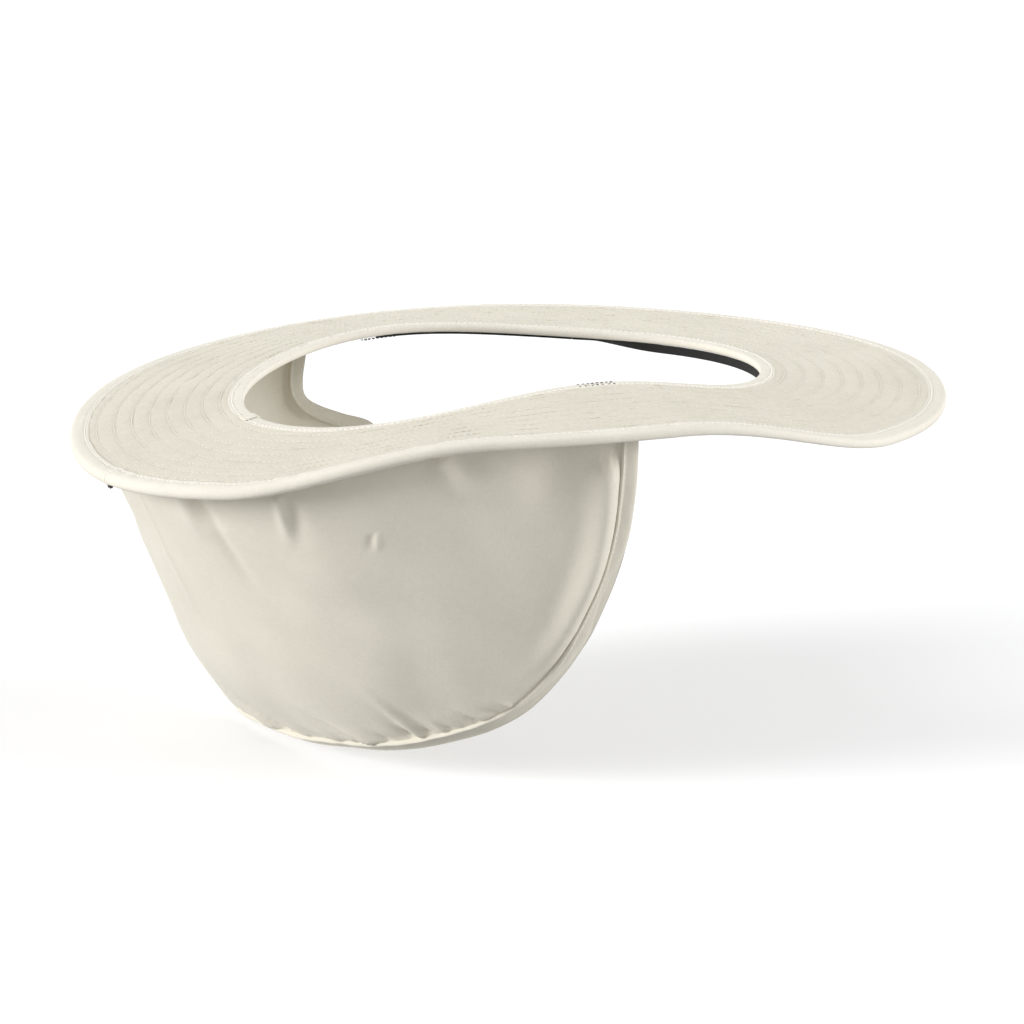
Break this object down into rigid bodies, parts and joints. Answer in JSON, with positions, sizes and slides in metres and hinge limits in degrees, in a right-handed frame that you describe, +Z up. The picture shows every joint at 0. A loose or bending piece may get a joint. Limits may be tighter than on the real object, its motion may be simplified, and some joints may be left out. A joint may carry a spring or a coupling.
{
  "type": "hard hat sun brim with neck shade",
  "caption": "Oval stiffened fabric sun brim with bound edges and a hanging rear neck shade, pulled down over a hard hat and gripped by a front elastic.",
  "frame": {"origin": "centre of the opening that the hard hat passes through, at the mean height of its rim", "axes": "+X towards the wearer's front along the brim's length, +Y towards the wearer's left, +Z up out of the opening"},
  "size_m": [0.43, 0.356, 0.1783],
  "materials": {
    "brim_fabric": "matte off-white plain-weave cotton blend",
    "shade_fabric": "matte off-white lightweight plain-weave cloth",
    "binding": "matte white woven edge tape",
    "thread": "white sewing thread",
    "dark_thread": "dark sewing thread",
    "core": "stiff felted interlining, hidden",
    "elastic": "black woven elastic"
  },
  "bodies": {
    "brim": {"brim_top_fabric": "brim_fabric", "brim_core": "core", "brim_under_fabric": "brim_fabric", "outer_binding": "binding", "outer_binding_stitch": "thread", "inner_binding": "binding", "inner_binding_stitch": "thread", "quilting_row_1": "thread", "quilting_row_2": "thread", "quilting_row_3": "thread", "quilting_row_4": "thread", "quilting_row_5": "thread", "quilting_row_6": "thread", "quilting_row_7": "thread", "quilting_row_8": "thread", "binding_joint_thread": "dark_thread", "elastic_end_left": "elastic", "elastic_end_right": "elastic", "elastic_tack_left": "dark_thread", "elastic_tack_right": "dark_thread", "shade_seam_tape": "binding", "shade_top_band": "shade_fabric"},
    "elastic": {"elastic_band": "elastic"},
    "shade": {"shade_panel": "shade_fabric", "shade_hem": "shade_fabric", "shade_hem_stitch": "thread"}
  },
  "joints": [
    {"name": "shade_swing", "type": "hinge", "parent": "brim", "child": "shade", "pos_m": [-0.104, 0, -0.02], "axis": [0, 1, 0], "range_deg": [-8, 14], "deforming": ["shade_top_band"]},
    {"name": "elastic_pull", "type": "hinge", "parent": "brim", "child": "elastic", "pos_m": [0.0839, 0, -0.0055], "axis": [0, 1, 0], "range_deg": [0, 35], "stiffness_Nm_per_rad": 0.4}
  ]
}
